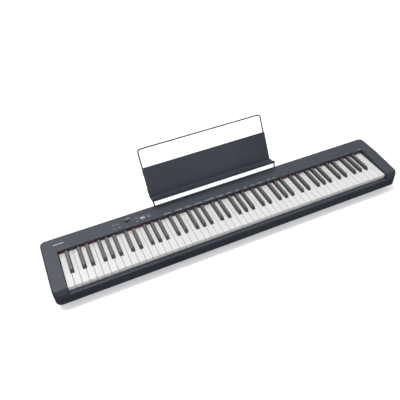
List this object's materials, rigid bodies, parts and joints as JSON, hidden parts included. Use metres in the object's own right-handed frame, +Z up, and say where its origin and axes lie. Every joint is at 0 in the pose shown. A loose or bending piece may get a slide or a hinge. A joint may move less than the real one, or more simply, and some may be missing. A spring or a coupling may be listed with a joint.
{
  "type": "digital piano",
  "caption": "Slim stage piano with hammer-action keys on two pivot rods, controls on the rear panel and a plug-in wire music rest.",
  "frame": {"origin": "on the floor, in the middle of the whole object's footprint, music rest included", "axes": "+X to the player's right along the keyboard, +Y away from the player, +Z up"},
  "size_m": [1.322, 0.3602, 0.2646],
  "materials": {
    "white_key_plastic": "satin",
    "black_key_plastic": "fine matte grain",
    "hammer_steel": "zinc plated",
    "case_plastic": "fine matte grain",
    "chassis_plastic": "moulded",
    "rod_steel": "ground",
    "guide_plastic": "moulded",
    "stop_felt": "felt",
    "red_felt": "felt",
    "circuit_board": "solder mask",
    "contact_rubber": "silicone",
    "speaker_black": "paper and pressed steel",
    "socket_plastic": "moulded",
    "port_metal": "nickel plated",
    "button_plastic": "satin",
    "bar_button_plastic": "satin",
    "slider_plastic": "satin",
    "light_guide": "clear",
    "rest_plastic": "fine matte grain",
    "rest_wire": "powder coated",
    "foot_rubber": "moulded",
    "screw_steel": "black oxide"
  },
  "bodies": {
    "case": {"top_case": "case_plastic", "bottom_case": "case_plastic", "key_chassis": "chassis_plastic", "key_pivot_rod": "rod_steel", "hammer_pivot_rod": "rod_steel", "key_guides": "guide_plastic", "stop_felts": "stop_felt", "key_well_felt": "red_felt", "contact_board": "circuit_board", "main_board": "circuit_board", "panel_board": "circuit_board", "contact_rubbers": "contact_rubber", "left_speaker": "speaker_black", "right_speaker": "speaker_black", "dc_inlet": "socket_plastic", "phones_jack": "socket_plastic", "pedal_jack": "socket_plastic", "usb_port": "port_metal", "power_light": "light_guide", "rubber_feet": "foot_rubber", "case_screws": "screw_steel"},
    "key_C4": {"key_C4": "white_key_plastic"},
    "key_D4": {"key_D4": "white_key_plastic"},
    "key_E4": {"key_E4": "white_key_plastic"},
    "key_F4": {"key_F4": "white_key_plastic"},
    "key_G4": {"key_G4": "white_key_plastic"},
    "key_A4": {"key_A4": "white_key_plastic"},
    "key_B4": {"key_B4": "white_key_plastic"},
    "bass_white_keys": {"bass_white_keys": "white_key_plastic"},
    "treble_white_keys": {"treble_white_keys": "white_key_plastic"},
    "key_C_sharp4": {"key_C_sharp4": "black_key_plastic"},
    "key_D_sharp4": {"key_D_sharp4": "black_key_plastic"},
    "key_F_sharp4": {"key_F_sharp4": "black_key_plastic"},
    "key_G_sharp4": {"key_G_sharp4": "black_key_plastic"},
    "key_A_sharp4": {"key_A_sharp4": "black_key_plastic"},
    "bass_black_keys": {"bass_black_keys": "black_key_plastic"},
    "treble_black_keys": {"treble_black_keys": "black_key_plastic"},
    "hammer_C4": {"hammer_C4": "hammer_steel"},
    "hammer_D4": {"hammer_D4": "hammer_steel"},
    "hammer_E4": {"hammer_E4": "hammer_steel"},
    "hammer_F4": {"hammer_F4": "hammer_steel"},
    "hammer_G4": {"hammer_G4": "hammer_steel"},
    "hammer_A4": {"hammer_A4": "hammer_steel"},
    "hammer_B4": {"hammer_B4": "hammer_steel"},
    "bass_white_hammers": {"bass_white_hammers": "hammer_steel"},
    "treble_white_hammers": {"treble_white_hammers": "hammer_steel"},
    "hammer_C_sharp4": {"hammer_C_sharp4": "hammer_steel"},
    "hammer_D_sharp4": {"hammer_D_sharp4": "hammer_steel"},
    "hammer_F_sharp4": {"hammer_F_sharp4": "hammer_steel"},
    "hammer_G_sharp4": {"hammer_G_sharp4": "hammer_steel"},
    "hammer_A_sharp4": {"hammer_A_sharp4": "hammer_steel"},
    "bass_black_hammers": {"bass_black_hammers": "hammer_steel"},
    "treble_black_hammers": {"treble_black_hammers": "hammer_steel"},
    "power_button": {"power_button": "button_plastic"},
    "function_button": {"function_button": "button_plastic"},
    "piano_button": {"piano_button": "button_plastic"},
    "sound_button": {"sound_button": "bar_button_plastic"},
    "volume_slider": {"volume_slider": "slider_plastic"},
    "music_rest": {"music_rest_wire": "rest_wire", "music_rest_panel": "rest_plastic"}
  },
  "joints": [
    {"name": "key_C4_press", "type": "hinge", "parent": "case", "child": "key_C4", "pos_m": [-0.05875, 0.03689, 0.075], "axis": [1, 0, 0], "range_deg": [0, 2.9]},
    {"name": "hammer_C4_swing", "type": "hinge", "parent": "case", "child": "hammer_C4", "pos_m": [-0.05875, -0.0511, 0.045], "axis": [1, 0, 0], "range_deg": [0, 13.9]},
    {"name": "key_D4_press", "type": "hinge", "parent": "case", "child": "key_D4", "pos_m": [-0.03525, 0.03689, 0.075], "axis": [1, 0, 0], "range_deg": [0, 2.9]},
    {"name": "hammer_D4_swing", "type": "hinge", "parent": "case", "child": "hammer_D4", "pos_m": [-0.03525, -0.0511, 0.045], "axis": [1, 0, 0], "range_deg": [0, 13.9]},
    {"name": "key_E4_press", "type": "hinge", "parent": "case", "child": "key_E4", "pos_m": [-0.01175, 0.03689, 0.075], "axis": [1, 0, 0], "range_deg": [0, 2.9]},
    {"name": "hammer_E4_swing", "type": "hinge", "parent": "case", "child": "hammer_E4", "pos_m": [-0.01175, -0.0511, 0.045], "axis": [1, 0, 0], "range_deg": [0, 13.9]},
    {"name": "key_F4_press", "type": "hinge", "parent": "case", "child": "key_F4", "pos_m": [0.01175, 0.03689, 0.075], "axis": [1, 0, 0], "range_deg": [0, 2.9]},
    {"name": "hammer_F4_swing", "type": "hinge", "parent": "case", "child": "hammer_F4", "pos_m": [0.01175, -0.0511, 0.045], "axis": [1, 0, 0], "range_deg": [0, 13.9]},
    {"name": "key_G4_press", "type": "hinge", "parent": "case", "child": "key_G4", "pos_m": [0.03525, 0.03689, 0.075], "axis": [1, 0, 0], "range_deg": [0, 2.9]},
    {"name": "hammer_G4_swing", "type": "hinge", "parent": "case", "child": "hammer_G4", "pos_m": [0.03525, -0.0511, 0.045], "axis": [1, 0, 0], "range_deg": [0, 13.9]},
    {"name": "key_A4_press", "type": "hinge", "parent": "case", "child": "key_A4", "pos_m": [0.05875, 0.03689, 0.075], "axis": [1, 0, 0], "range_deg": [0, 2.9]},
    {"name": "hammer_A4_swing", "type": "hinge", "parent": "case", "child": "hammer_A4", "pos_m": [0.05875, -0.0511, 0.045], "axis": [1, 0, 0], "range_deg": [0, 13.9]},
    {"name": "key_B4_press", "type": "hinge", "parent": "case", "child": "key_B4", "pos_m": [0.08225, 0.03689, 0.075], "axis": [1, 0, 0], "range_deg": [0, 2.9]},
    {"name": "hammer_B4_swing", "type": "hinge", "parent": "case", "child": "hammer_B4", "pos_m": [0.08225, -0.0511, 0.045], "axis": [1, 0, 0], "range_deg": [0, 13.9]},
    {"name": "bass_white_keys_press", "type": "hinge", "parent": "case", "child": "bass_white_keys", "pos_m": [-0.34075, 0.03689, 0.075], "axis": [1, 0, 0], "range_deg": [0, 2.9]},
    {"name": "bass_white_hammers_swing", "type": "hinge", "parent": "case", "child": "bass_white_hammers", "pos_m": [-0.34075, -0.0511, 0.045], "axis": [1, 0, 0], "range_deg": [0, 13.9]},
    {"name": "treble_white_keys_press", "type": "hinge", "parent": "case", "child": "treble_white_keys", "pos_m": [0.3525, 0.03689, 0.075], "axis": [1, 0, 0], "range_deg": [0, 2.9]},
    {"name": "treble_white_hammers_swing", "type": "hinge", "parent": "case", "child": "treble_white_hammers", "pos_m": [0.3525, -0.0511, 0.045], "axis": [1, 0, 0], "range_deg": [0, 13.9]},
    {"name": "key_C_sharp4_press", "type": "hinge", "parent": "case", "child": "key_C_sharp4", "pos_m": [-0.04935, 0.03689, 0.075], "axis": [1, 0, 0], "range_deg": [0, 3.5]},
    {"name": "hammer_C_sharp4_swing", "type": "hinge", "parent": "case", "child": "hammer_C_sharp4", "pos_m": [-0.04935, -0.0511, 0.045], "axis": [1, 0, 0], "range_deg": [0, 16.78]},
    {"name": "key_D_sharp4_press", "type": "hinge", "parent": "case", "child": "key_D_sharp4", "pos_m": [-0.02115, 0.03689, 0.075], "axis": [1, 0, 0], "range_deg": [0, 3.5]},
    {"name": "hammer_D_sharp4_swing", "type": "hinge", "parent": "case", "child": "hammer_D_sharp4", "pos_m": [-0.02115, -0.0511, 0.045], "axis": [1, 0, 0], "range_deg": [0, 16.78]},
    {"name": "key_F_sharp4_press", "type": "hinge", "parent": "case", "child": "key_F_sharp4", "pos_m": [0.02009, 0.03689, 0.075], "axis": [1, 0, 0], "range_deg": [0, 3.5]},
    {"name": "hammer_F_sharp4_swing", "type": "hinge", "parent": "case", "child": "hammer_F_sharp4", "pos_m": [0.02009, -0.0511, 0.045], "axis": [1, 0, 0], "range_deg": [0, 16.78]},
    {"name": "key_G_sharp4_press", "type": "hinge", "parent": "case", "child": "key_G_sharp4", "pos_m": [0.047, 0.03689, 0.075], "axis": [1, 0, 0], "range_deg": [0, 3.5]},
    {"name": "hammer_G_sharp4_swing", "type": "hinge", "parent": "case", "child": "hammer_G_sharp4", "pos_m": [0.047, -0.0511, 0.045], "axis": [1, 0, 0], "range_deg": [0, 16.78]},
    {"name": "key_A_sharp4_press", "type": "hinge", "parent": "case", "child": "key_A_sharp4", "pos_m": [0.07391, 0.03689, 0.075], "axis": [1, 0, 0], "range_deg": [0, 3.5]},
    {"name": "hammer_A_sharp4_swing", "type": "hinge", "parent": "case", "child": "hammer_A_sharp4", "pos_m": [0.07391, -0.0511, 0.045], "axis": [1, 0, 0], "range_deg": [0, 16.78]},
    {"name": "bass_black_keys_press", "type": "hinge", "parent": "case", "child": "bass_black_keys", "pos_m": [-0.33734, 0.03689, 0.075], "axis": [1, 0, 0], "range_deg": [0, 3.5]},
    {"name": "bass_black_hammers_swing", "type": "hinge", "parent": "case", "child": "bass_black_hammers", "pos_m": [-0.33734, -0.0511, 0.045], "axis": [1, 0, 0], "range_deg": [0, 16.78]},
    {"name": "treble_black_keys_press", "type": "hinge", "parent": "case", "child": "treble_black_keys", "pos_m": [0.34128, 0.03689, 0.075], "axis": [1, 0, 0], "range_deg": [0, 3.5]},
    {"name": "treble_black_hammers_swing", "type": "hinge", "parent": "case", "child": "treble_black_hammers", "pos_m": [0.34128, -0.0511, 0.045], "axis": [1, 0, 0], "range_deg": [0, 16.78]},
    {"name": "power_button_press", "type": "slide", "parent": "case", "child": "power_button", "axis": [0, 0, -1], "range_m": [0, 0.0008], "stiffness_N_per_m": 600},
    {"name": "function_button_press", "type": "slide", "parent": "case", "child": "function_button", "axis": [0, 0, -1], "range_m": [0, 0.0008], "stiffness_N_per_m": 600},
    {"name": "piano_button_press", "type": "slide", "parent": "case", "child": "piano_button", "axis": [0, 0, -1], "range_m": [0, 0.0008], "stiffness_N_per_m": 600},
    {"name": "sound_button_press", "type": "slide", "parent": "case", "child": "sound_button", "axis": [0, 0, -1], "range_m": [0, 0.0008], "stiffness_N_per_m": 600},
    {"name": "volume_slide", "type": "slide", "parent": "case", "child": "volume_slider", "axis": [1, 0, 0], "range_m": [-0.009, 0.009]},
    {"name": "music_rest_lift", "type": "slide", "parent": "case", "child": "music_rest", "axis": [0, 0, 1], "range_m": [0, 0.06]}
  ],
  "couplings": [
    {"joint": "key_C4_press", "follows": "hammer_C4_swing", "ratio": 0.20833},
    {"joint": "key_D4_press", "follows": "hammer_D4_swing", "ratio": 0.20833},
    {"joint": "key_E4_press", "follows": "hammer_E4_swing", "ratio": 0.20833},
    {"joint": "key_F4_press", "follows": "hammer_F4_swing", "ratio": 0.20833},
    {"joint": "key_G4_press", "follows": "hammer_G4_swing", "ratio": 0.20833},
    {"joint": "key_A4_press", "follows": "hammer_A4_swing", "ratio": 0.20833},
    {"joint": "key_B4_press", "follows": "hammer_B4_swing", "ratio": 0.20833},
    {"joint": "bass_white_keys_press", "follows": "bass_white_hammers_swing", "ratio": 0.20833},
    {"joint": "treble_white_keys_press", "follows": "treble_white_hammers_swing", "ratio": 0.20833},
    {"joint": "key_C_sharp4_press", "follows": "hammer_C_sharp4_swing", "ratio": 0.20833},
    {"joint": "key_D_sharp4_press", "follows": "hammer_D_sharp4_swing", "ratio": 0.20833},
    {"joint": "key_F_sharp4_press", "follows": "hammer_F_sharp4_swing", "ratio": 0.20833},
    {"joint": "key_G_sharp4_press", "follows": "hammer_G_sharp4_swing", "ratio": 0.20833},
    {"joint": "key_A_sharp4_press", "follows": "hammer_A_sharp4_swing", "ratio": 0.20833},
    {"joint": "bass_black_keys_press", "follows": "bass_black_hammers_swing", "ratio": 0.20833},
    {"joint": "treble_black_keys_press", "follows": "treble_black_hammers_swing", "ratio": 0.20833}
  ]
}
